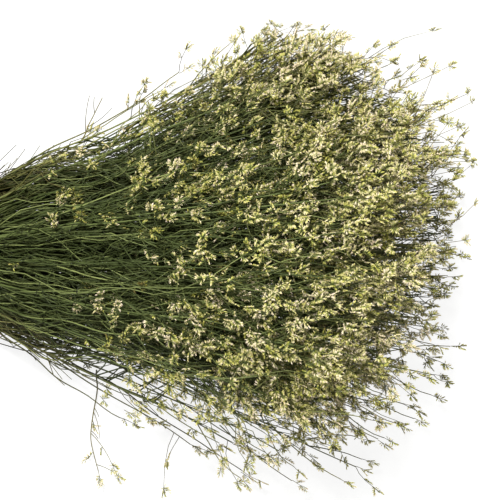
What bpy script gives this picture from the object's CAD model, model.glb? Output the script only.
# A bunch of dried statice, gathered by a rubber band and lying on its side on a pale table.
# Lengths are in millimetres until a mesh is written. +Z is up, +X runs from the band to the flowers, and
# the origin is on the table, under the middle of the band.
from types import SimpleNamespace

import bpy
import numpy as np
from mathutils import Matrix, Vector


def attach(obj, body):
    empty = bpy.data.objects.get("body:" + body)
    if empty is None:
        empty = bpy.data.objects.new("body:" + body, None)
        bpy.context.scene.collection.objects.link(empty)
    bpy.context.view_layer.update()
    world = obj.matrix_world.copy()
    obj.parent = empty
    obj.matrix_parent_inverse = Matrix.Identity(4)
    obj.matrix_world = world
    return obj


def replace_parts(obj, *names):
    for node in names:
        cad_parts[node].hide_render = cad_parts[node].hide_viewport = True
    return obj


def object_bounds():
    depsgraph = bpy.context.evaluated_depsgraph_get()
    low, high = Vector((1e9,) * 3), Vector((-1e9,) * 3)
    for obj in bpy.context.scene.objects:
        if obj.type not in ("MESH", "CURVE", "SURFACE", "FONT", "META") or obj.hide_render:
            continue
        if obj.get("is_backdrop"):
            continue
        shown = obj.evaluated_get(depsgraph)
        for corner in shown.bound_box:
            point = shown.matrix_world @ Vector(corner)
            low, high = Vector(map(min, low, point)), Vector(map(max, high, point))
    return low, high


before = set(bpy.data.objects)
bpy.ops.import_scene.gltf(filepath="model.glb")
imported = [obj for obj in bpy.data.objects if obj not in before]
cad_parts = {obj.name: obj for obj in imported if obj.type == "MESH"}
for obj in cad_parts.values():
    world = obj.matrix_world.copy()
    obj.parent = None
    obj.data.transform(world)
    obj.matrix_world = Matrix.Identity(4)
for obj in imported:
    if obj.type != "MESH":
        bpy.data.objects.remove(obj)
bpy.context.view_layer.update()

# The main stems: fifty cut stalks of statice, dried to a dull green, four-sided and finely ridged.
# The band holds them in eight columns. From there they fan out, each to its own direction and height,
# and all that grows on them is placed by distance, direction and share of the bunch's height.
STEMS_IN_COLUMN = (4, 6, 7, 8, 8, 7, 6, 4)
STEM_SIDE, STEM_GAP = 3.2, 0.5  # the room that each stem has at the band
PITCH = STEM_SIDE + STEM_GAP
BAND_THICK, BAND_CLEAR = 1.5, 0.35  # the band, and its distance from the stems
STRAIGHT = 10  # each side of the band, where the stems run side by side
BUTTS = 84, 112  # how far behind the band the stems are cut
BUTT_SPREAD = 0.0035  # share by which the cut ends draw apart, for each millimetre
FAN_ANGLE, FAN_LIMIT, FAN_STAGGER, FAN_JITTER = np.radians([27, 32, 1.6, 2.2])
OPENING, FLARE, FLARE_REACH, SETTLING = 25, 0.5, 150, 70
REACH_MIDDLE, REACH_SIDE = 512, 438
CROWN_REST, CROWN_HIGH, CROWN_REACH, CROWN_SAG = 30, 196, 400, 42
CREEP_LOW, CREEP_RISE = 1.5, 5.5
STEM_RINGS = 55, 140, 270  # distances at which the solid stems bend
STEM_HALVES = np.array([1.6, 1.6, 1.6, 1.5, 1.35, 1.15, 0.85])
SEED = 4127


def draws(seed, count):
    """Numbers from 0 to 1: number k scrambles the seed plus k steps of a constant, in 32 bits."""
    low = np.uint64(0xFFFFFFFF)
    steps = np.arange(1, count + 1, dtype=np.uint64) * np.uint64(0x6D2B79F5)
    state = (np.uint64(seed) + steps) & low
    mixed = ((state ^ (state >> np.uint64(15))) * (state | np.uint64(1))) & low
    again = ((mixed ^ (mixed >> np.uint64(7))) * (mixed | np.uint64(61))) & low
    mixed ^= (mixed + again) & low
    return (mixed ^ (mixed >> np.uint64(14))) / 2.0**32


def mix(start, end, share):
    """What lies at a share of the way from start to end."""
    return start + (end - start) * share


def unit(vectors):
    """Vectors divided by their own lengths."""
    return vectors / np.linalg.norm(vectors, axis=-1, keepdims=True)


def reach(azimuth):
    """How far the flowers reach in a direction: less by its fourth power towards the sides."""
    return REACH_MIDDLE - (REACH_MIDDLE - REACH_SIDE) * (azimuth / FAN_ANGLE) ** 4


def crown(distance, azimuth):
    """Height of the bunch's top: a quarter sine up to its reach, a parabola down past it, an arch across."""
    rise = np.sin(np.pi / 2 * np.minimum(1, distance / CROWN_REACH))
    past = np.maximum(0, distance - CROWN_REACH) / 100
    side = np.sqrt(np.maximum(0.12, 1 - (azimuth / FAN_LIMIT) ** 2))
    return (mix(CROWN_REST, CROWN_HIGH, rise) - CROWN_SAG * past**2) * side


def place(root, distance, azimuth, share):
    """The point of the fan at a distance from the band, in a direction, at a share of the bunch's height.
    Direction and height settle exponentially from those of the stem's own place in the band."""
    beyond = np.maximum(0, distance - STRAIGHT)
    opened = azimuth * (1 - np.exp(-beyond / OPENING))
    turned = opened * (1 + FLARE * np.exp(-((distance / FLARE_REACH) ** 2)))
    low = CREEP_LOW + CREEP_RISE * (distance / CROWN_REACH) ** 2
    high = low + np.clip(share, 0, 1) * (crown(distance, opened) - low)
    x = np.minimum(distance, STRAIGHT) + beyond * np.cos(turned)
    y = root[0] + beyond * np.sin(turned)
    return np.stack([x, y, mix(root[1], high, 1 - np.exp(-beyond / SETTLING))], -1)


stems = []
for column, count in enumerate(STEMS_IN_COLUMN):
    for row in range(count):
        numbers = iter(draws(SEED + 1000 * column + row, 4))
        across = column - (len(STEMS_IN_COLUMN) - 1) / 2
        root = across * PITCH, BAND_THICK + BAND_CLEAR + STEM_SIDE / 2 + row * PITCH
        aside = FAN_STAGGER * (1 if row % 2 else -1) + mix(-FAN_JITTER, FAN_JITTER, next(numbers))
        azimuth = across / (len(STEMS_IN_COLUMN) - 1) * 2 * FAN_ANGLE + aside
        wander = 0.3 * (next(numbers) - 0.5) if row else 0
        share = np.clip((row + wander) / (count - 1), 0, 0.97)
        length = reach(azimuth) * (1 - 0.2 * share**2 - 0.13 * next(numbers))
        butt = mix(*BUTTS, next(numbers))
        spread = 1 + BUTT_SPREAD * butt
        cut = -butt, root[0] * spread, STEM_SIDE / 2 + row * PITCH * spread
        distances = np.array([STRAIGHT, *STEM_RINGS, length])
        path = np.vstack([cut, (-STRAIGHT, *root), place(root, distances, azimuth, share)])
        stems.append(SimpleNamespace(
            at=(column, row), root=root, azimuth=azimuth, share=share, length=length,
            distances=distances, path=path, radii=STEM_HALVES * np.sqrt(2), ports=[],
        ))

# The shoots: long ones from low on a main stem, and twigs among the flowers, each with a tuft of flowers
# at its tip and one on its side. They swing aside or up and down, and then straighten. A shoot takes the
# place, of forty tried, that clears its neighbours and lies furthest from the other flowers.
LONG = SimpleNamespace(
    count=2, steps=3, radii=(1.35, 1.1), start=(0.14, 0.42), end=(0.76, 1), length=None,
    flower=(0.25, 0.6),
)
TWIG = SimpleNamespace(
    count=6, steps=2, radii=(1.2, 1.0), start=(0.5, 0.9), end=None, length=(46, 88),
    flower=(0.14, 0.3),
)
SWING, LIFT = (5, 40), 40  # how far a tip stands aside, and at most how far above or below
PORT_WIDTH = 2.6  # what a shoot takes up on its main stem
TUFT_TILT = np.radians(52)  # between a side tuft and its shoot
TUFT_BALL = 10  # centre and radius of the ball that holds a tuft
SHORTEST, TRIES, SAMPLE = 40, 40, 5
CLEAR_OTHER, CLEAR_OWN, NEAR_ROOT = 2.2, 0.9, 25
STRAYS = [
    SimpleNamespace(
        at=(0, 0), start=200, path=[(174, -134, 5), (169, -172, 7), (177, -203, 9)],
        radii=(1.3, 1.2, 1.1), tip=True, tufts=[(1.55, 1), (2.4, 0)],
    ),
    SimpleNamespace(
        at=(7, 3), start=190, path=[(174, 118, 66), (186, 145, 70)],
        radii=(1.2, 1.1), tip=False, tufts=[],
    ),
    SimpleNamespace(
        at=(7, 2), start=232, path=[(276, 158, 58), (322, 190, 64), (354, 211, 70)],
        radii=(1.3, 1.25, 1.15), tip=True, tufts=[(1.6, 2), (2.35, 1)],
    ),
]
EARLY_TUFTS = [(6, 5, 155), (5, 6, 218), (3, 7, 106), (4, 7, 203), (4, 7, 246), (2, 6, 190)]
LIMB, MAIN, TUFT = range(3)
standing = SimpleNamespace(
    start=np.empty((0, 3)), end=np.empty((0, 3)), size=np.empty(0), owner=np.empty(0, int),
    kind=np.empty(0, int),
)
tufts = SimpleNamespace(owner=[], foot=[], way=[])
shoots = []


def along(path, position):
    """A path's point and direction at a position, where 1.5 is halfway from point 1 to point 2."""
    index = np.clip(np.floor(position).astype(int), 0, len(path) - 2)
    point = mix(path[index], path[index + 1], (position - index)[..., None])
    return point, unit(path[index + 1] - path[index])


def level_and_upright(direction):
    """The level direction square to this one, and the one square to both."""
    level = unit(np.stack([-direction[..., 1], direction[..., 0], 0 * direction[..., 0]], -1))
    return level, np.cross(direction, level)


def around(direction, angle):
    """The direction at an angle round another, where angle 0 is level and 90 degrees is upward."""
    level, upright = level_and_upright(direction)
    return level * np.cos(angle)[..., None] + upright * np.sin(angle)[..., None]


def angle_around(direction, leaving):
    """The angle at which one direction leaves another, in the same sense."""
    level, upright = level_and_upright(direction)
    return np.arctan2((leaving * upright).sum(-1), (leaving * level).sum(-1))


def position_of(stem, distance):
    """Where on a main stem's path a distance from the band is."""
    after = np.maximum(1, np.searchsorted(stem.distances, distance))
    before = stem.distances[after - 1]
    return 1 + after + (distance - before) / (stem.distances[after] - before)


def port_for(stem, position, toward):
    """The face of a main stem that a shoot leaves by, and the stretch of the stem that it takes up."""
    point, direction = along(stem.path, position)
    leaving = unit(toward - point)
    turned = (angle_around(direction, leaving) - np.pi / 4) / (2 * np.pi) % 1
    sine = np.sqrt(np.maximum(0.01, 1 - (leaving * direction).sum(-1) ** 2))
    index = np.floor(position).astype(int)
    step = np.linalg.norm(stem.path[index + 1] - stem.path[index], axis=-1)
    half = np.clip(PORT_WIDTH / sine, 3, 11) / 2 / step
    return np.floor(turned * 4).astype(int) % 4, position - half, position + half


def turn_from(stem, face, low, high, direction):
    """The angle at which a three-sided shoot starts, to be twisted least against half of that face."""

    def corner(position, number):
        """A corner of the main stem's square section at a position of its path."""
        point, ahead = along(stem.path, position)
        index = np.floor(position).astype(int)
        radius = mix(stem.radii[index], stem.radii[index + 1], position - index)
        return point + radius[..., None] * around(ahead, np.pi / 4 + np.pi / 2 * number)

    after = (face + 1) % 4
    corners = np.stack([corner(low, face), corner(low, after), corner(high, after)])
    angles = angle_around(direction, corners - corners.mean(0)).T - 2 * np.pi / 3 * np.arange(3)
    return np.arctan2(np.sin(angles).sum(-1), np.cos(angles).sum(-1))


def leaning(direction, turn, face, corners):
    """The direction of a side tuft: out from one face of its limb, and forward."""
    outward = around(direction, turn + 2 * np.pi * (face + 0.5) / corners)
    return direction * np.cos(TUFT_TILT) + outward * np.sin(TUFT_TILT)


def fits(stem, low, high):
    """Whether a stretch of a main stem holds no ring of its path and no other port."""
    room = 0.02
    free = np.floor(low - room) == np.floor(high + room)
    for taken_low, taken_high in stem.ports:
        free &= (high + room < taken_low) | (taken_high + room < low)
    return free


def stand(owner, kind, start, end, size):
    """Adds straight pieces to what stands already."""
    new = dict(
        start=start, end=end, size=np.broadcast_to(size, len(start)),
        owner=np.full(len(start), owner), kind=np.full(len(start), kind),
    )
    for name, values in new.items():
        setattr(standing, name, np.concatenate([getattr(standing, name), values]))


def add_tuft(owner, foot, way):
    """Keeps a tuft of flowers, and the ball that it fills, whose centre lies ahead of its foot."""
    centre = (foot + TUFT_BALL * way)[None]
    stand(owner, TUFT, centre, centre, TUFT_BALL)
    tufts.owner.append(owner)
    tufts.foot.append(foot)
    tufts.way.append(way)


def shoot_points(way, t):
    """A shoot's points: its distance grows evenly, its direction and height turn as 1 - (1 - t)^2."""
    eased = 1 - (1 - t) ** 2
    share = mix(way.share, np.clip(way.share + way.lift, 0, 1), eased)
    return place(way.root, mix(way.start, way.end, t), mix(way.azimuth, way.target, eased), share)


def samples_of(path, radii):
    """Points every few millimetres of a path: their places, radii and distances from the root."""
    steps = np.linalg.norm(np.diff(path, axis=0), axis=1)
    counts = np.ceil(steps / SAMPLE).astype(int)
    which = np.repeat(np.arange(len(steps)), counts)
    t = (np.arange(len(which)) - np.repeat(np.cumsum(counts) - counts, counts) + 1) / counts[which]
    points = mix(path[which], path[which + 1], t[:, None])
    return points, radii[which], (np.cumsum(steps) - steps)[which] + steps[which] * t


def is_clear(owner, path, radii, balls):
    """Whether a shoot keeps clear of the table, of the other sprays and of the rest of its own."""
    if (balls[:, 2] < TUFT_BALL - 3).any():
        return False
    points, sizes, grown = samples_of(path, radii)
    points = np.vstack([balls, points])
    sizes = np.concatenate([np.full(len(balls), TUFT_BALL), sizes])
    grown = np.concatenate([np.full(len(balls), NEAR_ROOT), grown])
    widest = 2 * TUFT_BALL + CLEAR_OTHER
    low, high = points.min(0) - widest, points.max(0) + widest
    near = (np.maximum(standing.start, standing.end) > low).all(1)
    near &= (np.minimum(standing.start, standing.end) < high).all(1)
    start, ahead = standing.start[near], (standing.end - standing.start)[near]
    own, main = standing.owner[near] == owner, standing.kind[near] == MAIN
    reached = points[:, None] - start
    share = np.clip((reached * ahead).sum(-1) / np.maximum(1e-9, (ahead**2).sum(-1)), 0, 1)
    apart = np.linalg.norm(reached - share[..., None] * ahead, axis=-1)
    room = sizes[:, None] + standing.size[near] + np.where(own, CLEAR_OWN, CLEAR_OTHER)
    young = own & (grown[:, None] < np.where(main, NEAR_ROOT, 6))
    return bool(((apart >= room) | young).all())


def grow(owner, form, seed):
    """Grows one shoot, if a place for it is clear. The solids in the frame grow by the same rule."""
    stem = stems[owner]
    at_start, at_end, aside, raised, at_tuft = draws(seed, 5 * TRIES).reshape(TRIES, 5, 1).swapaxes(0, 1)
    start = stem.length * mix(*form.start, at_start)
    aim = start + mix(*form.length, at_end) if form.length else stem.length * mix(*form.end, at_end)
    side = 2 * aside - 1
    swing = np.sign(side) * mix(*SWING, np.abs(side)) / aim
    target = np.clip(stem.azimuth + swing, -FAN_LIMIT, FAN_LIMIT)
    end = np.minimum(aim, reach(target))
    lift = LIFT * (2 * raised - 1) / crown(end, target)
    way = SimpleNamespace(
        form=form, root=stem.root, azimuth=stem.azimuth, share=stem.share, start=start, end=end,
        target=target, lift=lift,
    )
    t = np.linspace(0, 1, form.steps + 1)
    path, radii = shoot_points(way, t), mix(*form.radii, t)
    position = position_of(stem, start[:, 0])
    path[:, 0] = along(stem.path, position)[0]
    face, low, high = port_for(stem, position, path[:, 1])
    turn = turn_from(stem, face, low, high, unit(path[:, 1] - path[:, 0]))
    ahead = unit(path[:, -1] - path[:, -2])
    foot = mix(path[:, -2], path[:, -1], mix(*form.flower, at_tuft))
    lean = leaning(ahead, turn, np.floor(3 * (7 * at_tuft[:, 0] % 1)), 3)
    feet, ways = np.stack([foot, path[:, -1]], 1), np.stack([lean, ahead], 1)
    balls = feet + TUFT_BALL * ways
    able = (end[:, 0] - start[:, 0] >= SHORTEST) & fits(stem, low, high)
    for i in np.flatnonzero(able):
        able[i] = is_clear(owner, path[i], radii, balls[i])
    if not able.any():
        return
    others = standing.start[standing.kind == TUFT]
    apart = np.linalg.norm(balls[:, :, None] - others, axis=-1).min((1, 2))
    best = np.argmax(np.where(able, apart, -1))
    stem.ports.append((low[best], high[best]))
    stand(owner, LIMB, path[best, :-1], path[best, 1:], radii[:-1])
    for i in range(2):
        add_tuft(owner, feet[best, i], ways[best, i])
    for name in ("start", "end", "target", "lift"):
        setattr(way, name, getattr(way, name)[best])
    way.owner, way.tuft_at = owner, (form.steps - 1 + mix(*form.flower, at_tuft[best, 0])) / form.steps
    shoots.append(way)


for owner, stem in enumerate(stems):
    stand(owner, MAIN, stem.path[:-1], stem.path[1:], stem.radii[:-1])
    for *at, distance in EARLY_TUFTS:
        if tuple(at) == stem.at:
            position = position_of(stem, distance)
            point, direction = along(stem.path, position)
            half = 1.6 / np.linalg.norm(np.diff(stem.path[int(position):][:2], axis=0))
            stem.ports.append((position - half, position + half))
            add_tuft(owner, point, leaning(direction, np.pi / 4, 0, 4))
    add_tuft(owner, stem.path[-1], unit(stem.path[-1] - stem.path[-2]))
for stray in STRAYS:
    stray.owner = [stem.at for stem in stems].index(stray.at)
    stem = stems[stray.owner]
    position = position_of(stem, stray.start)
    stray.path = np.vstack([along(stem.path, position)[0], stray.path])
    first = unit(stray.path[1] - stray.path[0])
    face, low, high = port_for(stem, position, stray.path[1])
    turn = turn_from(stem, face[None], low[None], high[None], first[None])[0]
    stand(stray.owner, LIMB, stray.path[:-1], stray.path[1:], stray.radii)
    stem.ports.append((low, high))
    for position, face in stray.tufts:
        point, direction = along(stray.path, np.float64(position))
        add_tuft(stray.owner, point, leaning(direction, turn, face, 3))
    if stray.tip:
        add_tuft(stray.owner, stray.path[-1], unit(stray.path[-1] - stray.path[-2]))
for number, form in enumerate(LONG.count * [LONG] + TWIG.count * [TWIG]):
    for owner in range(len(stems)):
        grow(owner, form, SEED + 31 * owner + 7919 * (number + 1))

# Stems as the eye sees them: every main stem and shoot again along its own curve, slim and slightly
# wavy, and between them the hundreds of side stems, most of which branch off low down. Dried green,
# going olive brown towards the far ends, with a pale pith where they are cut.
STALK_RADII = [0, 60, 150, 300, 520], [1.42, 1.1, 0.8, 0.6, 0.42]  # by distance from the band
STALK_RIDGE = 0.16  # the share by which every second corner of a main stem is drawn in
STRAIGHT_RINGS, FAN_RINGS = 5, 30  # rings of a main stem behind the band and beyond it
CUT_AGE, PITH_AGE = 0.97, 0.93  # the map's age on a cut end, and from where on it is shown as pith
SIDE_STEMS, INNER_STEMS = 12, 12  # on each main stem
LOW_STARTS, HIGH_STARTS, LOW_SHARE = (12, 90), (90, 270), 0.62  # where they branch off, and what share low
HIGHEST = 0.92  # the share of the bunch's height above which none of them ends
LEANS = np.radians([-44, -13, 22, 40])  # directions that stems lean in
LEADS = np.radians([-24, -13, 22, 30.5])  # and where they lead, drawn in so that none stands out too far
WAIST, WAIST_AT, WAIST_LENGTH = 0.2, 215, 100  # the share by which they stay narrower, and where
HEAD_SIDES = np.radians([-29, -16, -6, 0, 13, 22, 30])
HEAD_REACH = [385, 425, 478, 503, 496, 462, 412]  # how far the head reaches in those directions
SIDE_POINTS, INNER_POINTS = 19, 12
SIDE_TWIGS, INNER_TWIGS = 8, 5  # bare ones on each of these stems
MAP_NAME = "OFBake"  # the export keeps a map of this name
rng = np.random.default_rng(SEED)
stalks = []


def waved(path, amount, most):
    """Paths pushed aside and up by three sines each, with up to so many turns, starting from none."""
    count, points = path.shape[:2]
    t = np.linspace(0, 1, points)
    turns = rng.uniform(0.6, most, (2, count, 3, 1))
    phase = rng.uniform(0, 2 * np.pi, (2, count, 3, 1))
    sizes = amount * rng.uniform(0.4, 1, (2, count, 3, 1)) / turns
    swung = sizes * (np.sin(2 * np.pi * turns * t + phase) - np.sin(phase))
    push = swung.sum(2)[..., None] * np.minimum(1, 6 * t)[:, None]
    level, upright = level_and_upright(unit(np.gradient(path, axis=1)))
    return path + push[0] * level + 0.7 * push[1] * upright


def tubes(owner, paths, radii, sides, tone, age, ridge=0.0, cut=None):
    """A tube round each path: rings of corners square to it, joined by triangles and closed by flat ends.
    The ridge draws in every second corner. The map gives the tone across, and the age along or where cut."""
    count, points = paths.shape[:2]
    radii = np.broadcast_to(radii, (count, points))
    paths[..., 2] = np.maximum(paths[..., 2], radii)
    ahead, chord = unit(np.gradient(paths, axis=1)), paths[:, -1] - paths[:, 0]
    normal = np.cross(chord, np.eye(3)[np.abs(chord).argmin(1)])[:, None]
    normal = unit(normal - (normal * ahead).sum(-1, keepdims=True) * ahead)[:, :, None]
    turn = (2 * np.pi * np.arange(sides) / sides)[:, None]
    ring = np.cos(turn) * normal + np.sin(turn) * np.cross(ahead[:, :, None], normal)
    ring *= radii[..., None, None] * (1 - ridge * (np.arange(sides) % 2))[:, None]
    step, side = np.divmod(np.arange((points - 1) * sides), sides)
    a, b = step * sides + side, step * sides + (side + 1) % sides
    fan = np.stack([np.zeros(sides - 2, int), np.arange(1, sides - 1), np.arange(2, sides)], 1)
    faces = [np.stack([a, b, b + sides], 1), np.stack([a, b + sides, a + sides], 1), fan[:, ::-1]]
    faces = np.concatenate([*faces, fan + (points - 1) * sides])
    across = [np.stack([side, side + 1, side + 1], 1), np.stack([side, side + 1, side], 1)]
    across = np.concatenate([*across, np.tile([0, sides / 2, sides], (2 * len(fan), 1))]) / sides
    lengthwise = np.array(np.broadcast_to(age, (count, points)))[:, faces // sides]
    if cut is not None:
        lengthwise[:, 2 * len(a):2 * len(a) + len(fan)] = cut
    across = np.reshape(tone, (-1, 1, 1)) + 0.03 * across
    stalks.append(SimpleNamespace(
        owner=np.asarray(owner), points=(paths[:, :, None] + ring).reshape(count, -1, 3), faces=faces,
        map=np.stack(np.broadcast_arrays(across, lengthwise), -1),
    ))


def age_at(points):
    """How far a stem has dried, from 0 to 0.9: more with the 3.5th power of its distance from the band, and
    with the fourth power of how far it is to the bunch's side."""
    far = np.linalg.norm(points[..., :2], axis=-1)
    aside = np.abs(points[..., 1]) / np.tan(FAN_LIMIT) / np.maximum(60, points[..., 0])
    return 0.05 + 0.5 * (far / 520) ** 3.5 + 0.33 * np.minimum(1, aside) ** 4


# The main stems: behind the band as they are held, and beyond it along the fan
roots = np.array([stem.root for stem in stems])
azimuths = np.array([stem.azimuth for stem in stems])
shares = np.array([stem.share for stem in stems])
held = np.array([stem.path[:2] for stem in stems])
lengths = np.array([[stem.length] for stem in stems])
far = mix(STRAIGHT, lengths, np.linspace(0, 1, FAN_RINGS) ** 1.2)
main_path = waved(place(roots.T[:, :, None], far, azimuths[:, None], shares[:, None]), 2.2, 5)
behind = mix(held[:, :1], held[:, 1:], np.linspace(0, 1, STRAIGHT_RINGS)[:-1, None])
whole_far = np.concatenate([np.zeros((len(stems), STRAIGHT_RINGS - 1)), far], 1)
thick = np.interp(whole_far, *STALK_RADII)
tones = rng.uniform(0.2, 0.8, len(stems))
whole = np.concatenate([behind, main_path], 1)
tubes(np.arange(len(stems)), whole, thick, 8, tones, age_at(whole), STALK_RIDGE, CUT_AGE)

# The shoots, and the strays that stand out from the bunch
long_path, long_owner = [], []
for form, ends, points, amount in ((LONG, (0.8, 0.42), 19, 2.5), (TWIG, (0.55, 0.36), 8, 0.6)):
    ways = [way for way in shoots if way.form is form]
    t = np.linspace(0, 1, points)
    owner = np.array([way.owner for way in ways])
    path = waved(np.stack([shoot_points(way, t) for way in ways]), amount, 3)
    tubes(owner, path, mix(*ends, t), 4, rng.uniform(0.2, 0.9, len(ways)), age_at(path) + 0.06)
    if form is LONG:
        long_path, long_owner = path, owner


def smooth(points, count):
    """A path through points: between two of them, the cubic that at each is parallel to the line between
    the points before and after it."""
    slopes = np.gradient(points, axis=0)
    where = np.linspace(0, len(points) - 1, count)
    index = np.minimum(where.astype(int), len(points) - 2)
    t = (where - index)[:, None]
    start, end = points[index], points[index + 1]
    return (
        (2 * t**3 - 3 * t**2 + 1) * start + (t**3 - 2 * t**2 + t) * slopes[index]
        + (3 * t**2 - 2 * t**3) * end + (t**3 - t**2) * slopes[index + 1]
    )


stray_path = waved(np.stack([smooth(stray.path, 22) for stray in STRAYS]), 0.8, 4)
stray_owner = np.array([stray.owner for stray in STRAYS])
tubes(stray_owner, stray_path, np.linspace(0.75, 0.38, 22), 5, rng.uniform(0.3, 0.6, len(STRAYS)), 0.6)


def stems_between(each, points, height, swing, shorter, amount):
    """Paths of so many stems on each main stem, with their owners. They leave it between the band and the
    middle of the bunch, swing to one side by a normal draw, and end short of the head's edge by a share of
    their length. A bell curve of the distance draws them in at the bunch's waist."""
    count = each * len(stems)
    owner = np.repeat(np.arange(len(stems)), each)
    is_low = rng.random(count) < LOW_SHARE
    start = np.where(is_low, rng.uniform(*LOW_STARTS, count), rng.uniform(*HIGH_STARTS, count))
    aside = np.radians(rng.normal(0, swing, (2, count)))[rng.integers(2, size=count), np.arange(count)]
    target = np.interp(azimuths[owner] + aside, LEANS, LEADS)
    share = np.clip(height * shares[owner] + rng.normal(0.03, 0.14, count), 0, HIGHEST)
    end = np.interp(target, HEAD_SIDES, HEAD_REACH)
    end *= 1 - 0.12 * share**2 - shorter[0] - (shorter[1] - shorter[0]) * rng.random(count) ** 1.6
    t = np.linspace(0, 1, points)
    way = SimpleNamespace(
        root=roots[owner].T[:, :, None], azimuth=azimuths[owner, None], share=shares[owner, None],
        start=start[:, None], end=end[:, None], target=target[:, None],
        lift=(share - shares[owner])[:, None],
    )
    path = shoot_points(way, t)
    far = mix(start[:, None], end[:, None], t)
    waist = WAIST * np.exp(-(((far - WAIST_AT) / WAIST_LENGTH) ** 2))
    path[..., 1] *= 1 - waist * np.minimum(1, 5 * t)
    return owner, waved(path, amount, points / 4)


# The side stems, and below them thicker ones that have lost their flowers
side_owner, side_path = stems_between(SIDE_STEMS, SIDE_POINTS, 1, [[4], [8]], (0, 0.16), 16)
count = len(side_owner)
thick = mix(rng.uniform(0.5, 0.75, (count, 1)), 0.38, np.linspace(0, 1, SIDE_POINTS))
tones = rng.uniform(0, 0.95, count)
tubes(side_owner, side_path, thick, 3, tones, age_at(side_path) + rng.uniform(0, 0.15, (count, 1)))
inner_owner, inner_path = stems_between(INNER_STEMS, INNER_POINTS, 0.5, [[4], [9]], (0, 0.12), 9)
tones = rng.uniform(0, 0.4, len(inner_owner))
tubes(inner_owner, inner_path, np.linspace(0.85, 0.75, INNER_POINTS), 3, tones, 0.3)


def on_paths(paths, row, where):
    """Points and directions of paths at shares of their length. For each share, row says which path."""
    last = paths.shape[1] - 1
    index = np.minimum((where * last).astype(int), last - 1)
    start, end = paths[row, index], paths[row, index + 1]
    return mix(start, end, (where * last - index)[:, None]), unit(end - start)


def leaned(ahead, degrees, toward):
    """Directions at an angle from others, towards another, and the way in which they lean."""
    angle = np.radians(degrees)[:, None]
    out = unit(toward - (toward * ahead).sum(-1, keepdims=True) * ahead)
    return ahead * np.cos(angle) + out * np.sin(angle), out


def outward(points):
    """Unit vectors away from the bunch's middle line, which rises from the band."""
    height = 0.42 * crown(points[:, 0], 0)
    return unit(np.stack([0.25 * np.abs(points[:, 1]), points[:, 1], points[:, 2] - height], 1) + 1e-6)


def twigs(owner, foot, first, bend, length, radii, points, palest=0.9):
    """Curved twigs as tubes: foot + length (s first + s^2 bend), for s from 0 to 1."""
    s = np.linspace(0, 1, points)[:, None]
    path = foot[:, None] + length[:, None, None] * (s * first[:, None] + s**2 * bend[:, None])
    age = age_at(foot)[:, None] + rng.uniform(0, 0.25, (len(foot), 1))
    tubes(owner, path, np.linspace(*radii, points), 3, rng.uniform(0, palest, len(foot)), age)
    return path


def bare_twigs(owner, paths, each, lowest):
    """Twigs without flowers, which cross between the stems and lean towards the bunch's middle line."""
    row = np.repeat(np.arange(len(paths)), each)
    where = rng.uniform(lowest, 1, len(row))
    foot, ahead = on_paths(paths, row, where)
    toward = rng.normal((0, 0, 0.3), (0.7, 1.6, 0.7), (len(row), 3)) - foot * (0, 1 / 60, 0)
    first, out = leaned(ahead, rng.uniform(18, 65, len(row)) + 20 * where, toward)
    length = mix(rng.uniform(25, 70, len(row)), 26, where)
    twigs(owner[row], foot, first, 0.2 * ahead - 0.35 * out, length, (0.5, 0.34), 3, 0.5)


bare_twigs(side_owner, side_path, SIDE_TWIGS, 0.02)
bare_twigs(inner_owner, inner_path, INNER_TWIGS, 0.5)

# What branches off the strays: stray, share of its length, side, degrees, length, and whether in flower
STRAY_FORKS = [
    (0, 0.42, 1, 50, 10, False), (0, 0.45, 1, 35, 25, False), (0, 0.6, 1, 60, 11, False),
    (0, 0.62, 1, 48, 36, True), (0, 0.93, 1, 62, 24, True), (1, 0.35, 1, 28, 32, False),
    (1, 0.5, -1, 45, 28, False), (1, 0.75, 1, 38, 14, False), (2, 0.45, 1, 42, 26, True),
    (2, 0.6, -1, 46, 22, True), (2, 0.8, 1, 40, 18, True),
]
which, where, side, lean, length, in_flower = map(np.array, zip(*STRAY_FORKS, strict=True))
foot, ahead = on_paths(stray_path, which, where)
first, out = leaned(ahead, lean, side[:, None] * level_and_upright(ahead)[0] + (0, 0, 0.2))
fork_owner = stray_owner[which]
forks = twigs(fork_owner, foot, first, 0.15 * ahead - 0.15 * out, length.astype(float), (0.42, 0.28), 6)

# Flowers: short curved twigs, each set on one side with papery funnels like a comb. The funnels are
# what is left of the flowers: dry calyces, yellow green at the foot and cream at the open mouth.
EARLY, SPRIGS = 40, 34  # large heads low on the bunch, and sprigs that end its outermost stems
EARLY_MIDDLE, EARLY_HALF = (205, 62), (72, 36)  # where the photograph shows those heads
EARLY_HEIGHT = 0.7  # the share of the bunch's height above which they stand
SPRIG_SIDE = 62  # how far aside the sprigs stand at least
CALYX_LENGTHS, CALYX_THROATS, CALYX_MOUTHS = (3.6, 5.2), (0.5, 0.66), (0.7, 1)
BROWN_TONE, BROWN_MOUTH = 0.2, 0.5  # the tone under which a calyx is withered, and its narrow mouth
PALE, PALE_AT, PALER = 0.54, 380, 0.0004  # the calyces' tone at that x, and its rise for each millimetre
BROWNED, BROWNER = 468, 0.009  # how far out the tips turn brown, and the tone's fall for each millimetre
calyces = []


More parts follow.
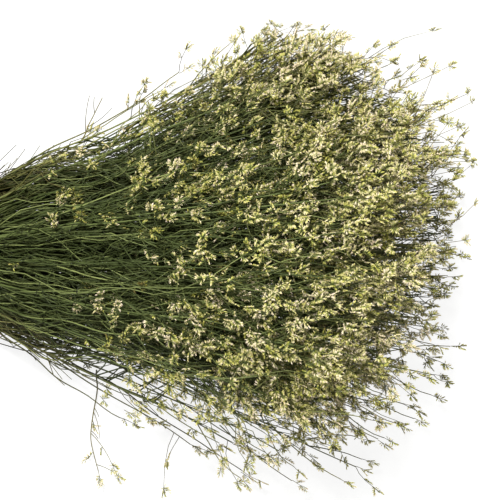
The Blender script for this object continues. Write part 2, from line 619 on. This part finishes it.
def funnels(owner, foot, ahead, side, length, throat, mouth, tone):
    """Dry calyces: a cone from a pointed foot to a rim of four corners round a hollow. The rim's corners
    are by turns a notch, as wide as the throat, and the tip of a lobe, as wide as the mouth."""
    third = np.cross(ahead, side)

    def corner(across, radius, height):
        """The points so far ahead of the feet, and so far out to one side."""
        return foot + height[:, None] * ahead + radius[:, None] * across

    points = np.stack([
        foot, corner(side, throat, 0.55 * length), corner(third, mouth, length),
        corner(-side, throat, 0.5 * length), corner(-third, mouth, 0.94 * length),
        corner(side, 0 * throat, 0.6 * length),
    ], 1)
    points[..., 2] = np.maximum(points[..., 2], 0.05)
    k = np.arange(4)
    rim, after, hollow = 1 + k, 1 + (k + 1) % 4, np.full(4, 5)
    faces = np.concatenate([np.stack([0 * k, after, rim], 1), np.stack([hollow, rim, after], 1)])
    heights = np.array([0.02, 0.5, 0.98, 0.5, 0.98, 0.7])[faces]
    across = tone[:, None, None] + 0.03 * np.array([0.5, 0, 0.25, 0.5, 0.75, 0.5])[faces]
    calyces.append(SimpleNamespace(
        owner=owner, points=points, faces=faces,
        map=np.stack([across, np.broadcast_to(heights, across.shape)], -1),
    ))


def combs(owner, foot, ahead, lean, toward, ripeness, calyx_count):
    """Flowering twig ends: each leans from the twig it stands on and carries calyces all on one side,
    the last one nearly straight ahead and those before it more and more aslant."""
    n = len(foot)
    way, out = leaned(ahead, lean, toward)
    rachis = twigs(owner, foot, way, -0.35 * out, rng.uniform(0.8, 1.3, n) * calyx_count, (0.34, 0.2), 2)
    one_side = out + rng.normal(0, 0.6, (n, 3))
    for k in np.linspace(0, 1, calyx_count):
        base, along_it = on_paths(rachis, np.arange(n), np.full(n, 1 - 0.9 * k))
        point, _ = leaned(along_it, mix(5, 85, k) + rng.normal(0, 10, n), one_side)
        side = unit(np.cross(point, rng.normal(0, 1, (n, 3))))
        tone = np.clip(ripeness + rng.normal(0, 0.2, n), 0, 0.96)
        mouth = np.where(tone < BROWN_TONE, BROWN_MOUTH, rng.uniform(*CALYX_MOUTHS, n))
        length = rng.uniform(*CALYX_LENGTHS, n)
        funnels(owner, base, point, side, length, rng.uniform(*CALYX_THROATS, n), mouth, tone)


def ripe(points, rows):
    """How pale the calyces of each stem are: more so towards the far end of the bunch, but its very tips,
    which stand in the light, have gone olive and brown."""
    own = rng.normal(0, 0.17, rows.max() + 1)[rows]
    tips = np.maximum(0, np.linalg.norm(points[:, :2], axis=1) - BROWNED)
    return PALE + PALER * (points[:, 0] - PALE_AT) - BROWNER * tips + own


def corymbs(owner, twig, count, pale, calyx_count):
    """Loose flat-topped heads: combs that spread from the end of each twig, and one from its side."""
    n = len(twig)
    turn = rng.uniform(0, 2 * np.pi, n)
    for k in range(count):
        where = np.ones(n) if k < count - 1 else rng.uniform(0.35, 0.7, n)
        foot, ahead = on_paths(twig, np.arange(n), where)
        lean = rng.uniform(0, 25, n) if k == 0 else rng.uniform(32, 72, n)
        toward = around(ahead, turn + 2 * np.pi * k / count + rng.normal(0, 0.3, n)) + 0.5 * outward(foot)
        combs(owner, foot, ahead, lean, toward, pale, calyx_count)


def flowering_twigs(owner, paths, row, where, lean, length, head=5):
    """Twigs that each end in a head of so many combs of calyces."""
    foot, ahead = on_paths(paths, row, where)
    first, out = leaned(ahead, lean, outward(foot) + rng.normal(0, 1.1, (len(row), 3)))
    curl = 0.25 * ahead - 0.2 * out + rng.normal(0, 0.2, (len(row), 3))
    twig = twigs(owner[row], foot, first, curl, length, (0.4, 0.28), 4)
    corymbs(owner[row], twig, head, ripe(foot, row), 6)


def add_flowers(owner, paths, side_twigs, lowest):
    """Flowering twigs on stems: one at each tip, and so many on the sides, in a clump of its own."""
    n = len(paths)
    tips = np.arange(n)
    flowering_twigs(owner, paths, tips, np.ones(n), rng.uniform(8, 95, n), rng.uniform(10, 22, n))
    row = np.repeat(tips, rng.poisson(side_twigs * (0.2 + 1.5 * paths[:, -5, 2] / 85)))
    clump = mix(lowest + 0.1, 0.98, rng.random(n) ** 0.6)[row]
    where = np.clip(clump + rng.normal(0, 0.12, len(row)), lowest, 0.99)
    lean, length = rng.uniform(30, 95, len(row)), rng.uniform(12, 40, len(row))
    flowering_twigs(owner, paths, row, where, lean, length)


add_flowers(side_owner, side_path, 1.14, 0.38)
is_early = (np.abs(side_path[..., :2] - EARLY_MIDDLE) < EARLY_HALF).all(-1)
is_early &= side_path[..., 2] > EARLY_HEIGHT * crown(side_path[..., 0], 0.3)
early, where = rng.choice(np.argwhere(is_early), EARLY, replace=False).T
lean, length = rng.uniform([[30], [10]], [[80], [26]], (2, EARLY))
flowering_twigs(side_owner, side_path, early, where / (SIDE_POINTS - 1), lean, length, 8)
ends = side_path[:, -1]
far_out = np.where(np.abs(ends[:, 1]) > SPRIG_SIDE, np.linalg.norm(ends[:, :2], axis=1), 0)
outermost = np.argsort(-far_out)[:SPRIGS]
lean, length = rng.uniform([[20], [26]], [[70], [46]], (2, SPRIGS))
flowering_twigs(side_owner, side_path, outermost, np.ones(SPRIGS), lean, length)
add_flowers(np.arange(len(stems)), main_path, 1, 0.5)
add_flowers(long_owner, long_path, 1, 0.4)
corymbs(fork_owner[in_flower], forks[in_flower], 4, np.full(in_flower.sum(), 0.5), 6)

# The tufts that the solids show, each as a head on a short twig in the same cone.
tuft_owner, tuft_foot, tuft_way = map(np.array, (tufts.owner, tufts.foot, tufts.way))
count = len(tuft_owner)
twig = twigs(tuft_owner, tuft_foot, tuft_way, 0 * tuft_way, rng.uniform(6, 9, count), (0.34, 0.26), 3)
corymbs(tuft_owner, twig, 3, ripe(tuft_foot, tuft_owner), 6)

# The few sprigs that would stand out past the bunch's own size are pressed back towards it.
OUTER, PRESSED = (520, 205, 190), 0.55  # from these x, y and z on, and by what share of the rest


def piece(name, shells, owner, material, rounded):
    """One mesh, in metres, of all the shells that grow on a main stem. What lies past the bunch's own size
    comes back by a share of what it stands out by."""
    points, faces, corners, first = [], [], [], 0
    for shell in shells:
        mine = shell.owner == owner
        count, size = mine.sum(), shell.points.shape[1]
        points.append(shell.points[mine].reshape(-1, 3))
        faces.append((shell.faces + first + size * np.arange(count)[:, None, None]).reshape(-1, 3))
        corners.append(shell.map[mine].reshape(-1, 2))
        first += count * size
    points, faces, corners = map(np.concatenate, (points, faces, corners))
    points -= PRESSED * np.maximum(0, points - OUTER)
    mesh = bpy.data.meshes.new(name)
    mesh.vertices.add(len(points))
    mesh.vertices.foreach_set("co", (points / 1000).astype(np.float32).ravel())
    mesh.loops.add(faces.size)
    mesh.loops.foreach_set("vertex_index", faces.astype(np.int32).ravel())
    mesh.polygons.add(len(faces))
    mesh.polygons.foreach_set("loop_start", np.arange(0, faces.size, 3, dtype=np.int32))
    mesh.polygons.foreach_set("use_smooth", np.full(len(faces), rounded))
    layer = mesh.uv_layers.new(name=MAP_NAME)
    layer.uv.foreach_set("vector", corners.astype(np.float32).ravel())
    mesh.update(calc_edges=True)
    mesh.materials.append(material)
    made = bpy.data.objects.new(name, mesh)
    bpy.context.scene.collection.objects.link(made)
    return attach(made, "root")


def linear(colour):
    """The linear values of an sRGB hex colour, with an alpha of 1."""
    parts = np.array([int(colour[i : i + 2], 16) for i in (1, 3, 5)]) / 255
    curved = np.where(parts <= 0.04045, parts / 12.92, ((parts + 0.055) / 1.055) ** 2.4)
    return (*curved.tolist(), 1.0)


def node(tree, kind, inputs=(), stops=(), **settings):
    """Adds a shader node with its settings, and the stops of its ramp. Each input gets a value or a link."""
    made = tree.nodes.new("ShaderNode" + kind)
    for name, value in settings.items():
        setattr(made, name, value)
    for name, value in dict(inputs).items():
        if isinstance(value, bpy.types.NodeSocket):
            tree.links.new(value, made.inputs[name])
        else:
            made.inputs[name].default_value = value
    for number, (at, colour) in enumerate(stops):
        elements = made.color_ramp.elements
        element = elements[number] if number < 2 else elements.new(1.0)
        element.position, element.color = at, linear(colour)
    return made


def new_material(name, **settings):
    """A material with its Principled shader set, and what its nodes are added to."""
    material = bpy.data.materials.new(name)
    material.use_nodes = True
    shader = material.node_tree.nodes["Principled BSDF"]
    for socket, value in settings.items():
        shader.inputs[socket.replace("_", " ")].default_value = value
    return material, material.node_tree, shader


# Dried stalk: a matt skin, grey green where it is young and shaded, and olive brown in long blotches
# where it has dried in the light. The map's first number is a stem's own tone and its second the age, so
# each stem looks a little different from the next. A cut end shows the pale pith.
stalk, tree, shader = new_material("dried_green_stalk", Roughness=0.62, Specular_IOR_Level=0.3)
spot = node(tree, "UVMap", uv_map=MAP_NAME).outputs["UV"]
parts = node(tree, "SeparateXYZ", {"Vector": spot}).outputs
green = node(tree, "ValToRGB", {"Fac": parts["X"]}, [
    (0.0, "#2c350f"), (1.0, "#828b50"), (0.4, "#495428"), (0.75, "#646f3a"),
])
brown = node(tree, "ValToRGB", {"Fac": parts["X"]}, [(0.0, "#372b12"), (1.0, "#8a7b42"), (0.5, "#5f5024")])
stretched = node(tree, "Mapping", {"Vector": spot, "Scale": (60, 140, 1)})
blotches = node(tree, "TexNoise", {"Vector": stretched.outputs[0], "Scale": 1.0, "Detail": 3.0})
dried = node(tree, "Math", {0: blotches.outputs["Fac"], 1: 0.3, 2: parts["Y"]}, operation="MULTIPLY_ADD")
ripened = node(tree, "MapRange", {"Value": dried.outputs[0], "From Min": 0.4, "From Max": 0.85})
skin = node(tree, "Mix", {
    "Factor": ripened.outputs[0], 6: green.outputs[0], 7: brown.outputs[0],
}, data_type="RGBA")
is_cut = node(tree, "Math", {0: parts["Y"], 1: PITH_AGE}, operation="GREATER_THAN")
shown = node(tree, "Mix", {
    "Factor": is_cut.outputs[0], 6: skin.outputs[2], 7: linear("#cfc596"),
}, data_type="RGBA")
tree.links.new(shown.outputs[2], shader.inputs["Base Color"])

# Dry calyx: a papery funnel, as matt as tissue. Its foot stays green or olive, and the thin mouth
# has bleached from yellow green to cream, or withered to brown. The map's first number is how pale a
# flower is and its second the height on it, so a head looks speckled and light at its tips.
calyx, tree, shader = new_material("dry_papery_calyx", Roughness=0.7, Specular_IOR_Level=0.25)
spot = node(tree, "UVMap", uv_map=MAP_NAME).outputs["UV"]
parts = node(tree, "SeparateXYZ", {"Vector": spot}).outputs
low = node(tree, "ValToRGB", {"Fac": parts["X"]}, [
    (0.0, "#463f1e"), (1.0, "#969a4e"), (0.3, "#475c1c"), (0.6, "#657a32"),
])
high = node(tree, "ValToRGB", {"Fac": parts["X"]}, [
    (0.0, "#7a6d3c"), (1.0, "#ead9c2"), (0.18, "#98993a"), (0.36, "#c2bc68"), (0.6, "#dbcf98"),
])
opened = node(tree, "MapRange", {"Value": parts["Y"], "From Min": 0.22, "From Max": 0.66})
blend = node(tree, "Mix", {
    "Factor": opened.outputs[0], 6: low.outputs[0], 7: high.outputs[0],
}, data_type="RGBA")
tree.links.new(blend.outputs[2], shader.inputs["Base Color"])

for owner in range(len(stems)):
    spray = f"spray_{owner + 1:02d}"
    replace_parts(piece(spray + "_stalks", stalks, owner, stalk, True), spray)
    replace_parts(piece(spray + "_calyces", calyces, owner, calyx, False), spray)

# The rubber band: one long band, wound three times round the stems just where they fan out. It is tan
# rubber, moulded flat with round edges, and on top its last turn crosses back over the other two.
TURN_WIDTH, TURN_PITCH = 3.6, 3.9  # of one turn, and from each to the next
PASSING = 0.42, 0.16  # where on a turn it moves aside, and over what share
BAND_STEPS, BAND_SIDES = 120, 12
DUST_GRAIN, WRINKLE = 4, 0.7  # of the dust on the rubber and of its moulded skin


def band_outline(offset, steps):
    """Evenly spaced points round the stems in the band, at a distance from their corners, counted from
    the middle of the lowest side, with the directions that point outwards there."""
    corners = []
    for column, count in enumerate(STEMS_IN_COLUMN[len(STEMS_IN_COLUMN) // 2:]):
        across = (column + 0.5) * PITCH + STEM_SIDE / 2
        corners.append((across, BAND_THICK + BAND_CLEAR + count * PITCH - STEM_GAP))
    corners = np.array([*corners, (corners[-1][0], BAND_THICK + BAND_CLEAR)])
    angle = np.linspace(np.pi / 2, -np.pi / 2, 180)
    normal = np.stack([np.cos(angle), np.sin(angle)], -1)
    half = corners[(normal @ corners.T).argmax(1)] + offset * normal
    half = np.vstack([(0, half[0, 1]), half, (0, half[-1, 1])])[::-1]
    whole = np.vstack([half, half[-2::-1] * (-1, 1)])
    grown = np.concatenate([[0], np.cumsum(np.linalg.norm(np.diff(whole, axis=0), axis=1))])
    at = np.linspace(0, grown[-1], steps, endpoint=False)
    points = np.stack([np.interp(at, grown, whole[:, i]) for i in range(2)], -1)
    ahead = unit(np.roll(points, -2, 0) - np.roll(points, 2, 0))
    return points, np.stack([ahead[:, 1], -ahead[:, 0]], -1)


line, normal = (np.tile(part, (3, 1)) for part in band_outline(BAND_CLEAR + BAND_THICK / 2, BAND_STEPS))
turn, passed = np.divmod(np.arange(3 * BAND_STEPS) / BAND_STEPS, 1)
passed = np.clip((passed - PASSING[0]) / PASSING[1], 0, 1)
eased = passed**2 * (3 - 2 * passed)
lane = np.where(turn < 2, turn + eased, 2 - 2 * eased) - 1
raised = np.where(turn < 2, 0, BAND_THICK * 1.02 * np.clip(3 * np.sin(np.pi * passed), 0, 1))

# The band's section is a flattened oval, squared up by powers of the cosine and the sine under one.
angle = 2 * np.pi * np.arange(BAND_SIDES) / BAND_SIDES
flat = np.sign(np.cos(angle)) * np.abs(np.cos(angle)) ** 0.5 * TURN_WIDTH / 2
high = np.sign(np.sin(angle)) * np.abs(np.sin(angle)) ** 0.7 * BAND_THICK / 2
outer = line[:, None] + (raised[:, None] + high)[..., None] * normal[:, None]
points = np.concatenate([(TURN_PITCH * lane[:, None] + flat)[..., None], outer], -1).reshape(-1, 3)
points[:, 2] = np.maximum(points[:, 2], 0)
step, side = np.divmod(np.arange(3 * BAND_STEPS * BAND_SIDES), BAND_SIDES)
step, after = step * BAND_SIDES, (step + 1) % (3 * BAND_STEPS) * BAND_SIDES
next_side = (side + 1) % BAND_SIDES
quads = np.stack([step + side, step + next_side, after + next_side, after + side], 1)
mesh = bpy.data.meshes.new("rubber_band")
mesh.from_pydata((points / 1000).tolist(), [], quads.tolist())
mesh.polygons.foreach_set("use_smooth", np.ones(len(quads), bool))
band = bpy.data.objects.new("rubber_band", mesh)
bpy.context.scene.collection.objects.link(band)

# Tan rubber: a soft sheen where it is stretched, paler where dust lies on it, and finely wrinkled skin.
rubber, tree, shader = new_material("tan_rubber", Roughness=0.55, Specular_IOR_Level=0.4)
spot = node(tree, "TexCoord").outputs["Object"]
dusty = node(tree, "TexNoise", {"Vector": spot, "Scale": 1000 / DUST_GRAIN, "Detail": 5.0})
tan = node(tree, "ValToRGB", {"Fac": dusty.outputs["Fac"]}, [(0.3, "#8f6130"), (0.75, "#c39a62")])
tree.links.new(tan.outputs[0], shader.inputs["Base Color"])
wrinkled = node(tree, "TexNoise", {"Vector": spot, "Scale": 1000 / WRINKLE, "Detail": 3.0})
bump = node(tree, "Bump", {"Height": wrinkled.outputs["Fac"], "Strength": 0.3, "Distance": 0.0002})
tree.links.new(bump.outputs[0], shader.inputs["Normal"])
mesh.materials.append(rubber)
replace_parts(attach(band, "root"), "band")

# The table: a wide plain white sheet. It also shines by itself, so that it comes out as bright as the
# photograph's background while the lamps over it leave the gaps between the stems dark.
bpy.ops.mesh.primitive_plane_add(size=6, location=(0.2, 0, 0))
table = bpy.context.object
table.name = "table"
white, tree, shader = new_material("white_table", Roughness=0.9)
shader.inputs["Base Color"].default_value = linear("#7c7c7a")
shader.inputs["Emission Color"].default_value = linear("#ffffff")
shader.inputs["Emission Strength"].default_value = 0.85
table.data.materials.append(white)
table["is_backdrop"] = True

# The light: the room round the table looks white from the side, but adds only a little light. A small soft
# box behind and above gives the flowers their bright edges and the gaps their dark, a wide one fills in.
ROOM_LIGHT, ROOM_LOOK = 0.05, 0.95  # what the room adds to the light, and how bright it looks
world = bpy.data.worlds.new("studio")
bpy.context.scene.world = world
world.use_nodes = True
tree = world.node_tree
seen = node(tree, "LightPath").outputs["Is Camera Ray"]
strength = node(tree, "MapRange", {"Value": seen, "To Min": ROOM_LIGHT, "To Max": ROOM_LOOK})
room = tree.nodes["Background"]
room.inputs["Color"].default_value = linear("#ffffff")
tree.links.new(strength.outputs[0], room.inputs["Strength"])


def lamp(name, place, aim, size, power):
    """A square soft box at a place, turned to an aim."""
    light = bpy.data.lights.new(name, "AREA")
    light.size, light.energy = size, power
    made = bpy.data.objects.new(name, light)
    bpy.context.scene.collection.objects.link(made)
    made.location = place
    made.rotation_euler = (Vector(aim) - Vector(place)).to_track_quat("-Z", "Y").to_euler()


lamp("key", (-0.1, 0.85, 1.7), (0.3, 0, 0.1), 0.4, 68)
lamp("fill", (1.2, -0.8, 1.5), (0.3, 0, 0.1), 1.0, 11)

# The camera: it looks straight down on the middle of what the photograph shows, with the band past the
# picture's left edge. Its lens is set by the size of one pixel at half the bunch's height.
PIXEL, PIXELS = 0.9, 500  # millimetres to one pixel of the photograph, and its width
FRAME_CENTRE = 320.4, 6.3  # x and y of the picture's middle
MIDDLE, HEIGHT = 85, 1500  # half the bunch's height, and the camera's distance from there
SENSOR = 36
camera_data = bpy.data.cameras.new("camera")
camera = bpy.data.objects.new("camera", camera_data)
bpy.context.scene.collection.objects.link(camera)
bpy.context.scene.camera = camera
camera.location = (FRAME_CENTRE[0] / 1000, FRAME_CENTRE[1] / 1000, (MIDDLE + HEIGHT) / 1000)
camera_data.sensor_width = SENSOR
camera_data.lens = SENSOR * HEIGHT / (PIXELS * PIXEL)
camera_data.clip_start, camera_data.clip_end = 0.05, 20
bpy.context.scene.view_settings.view_transform = "Standard"

shown = [list(corner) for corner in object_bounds()]
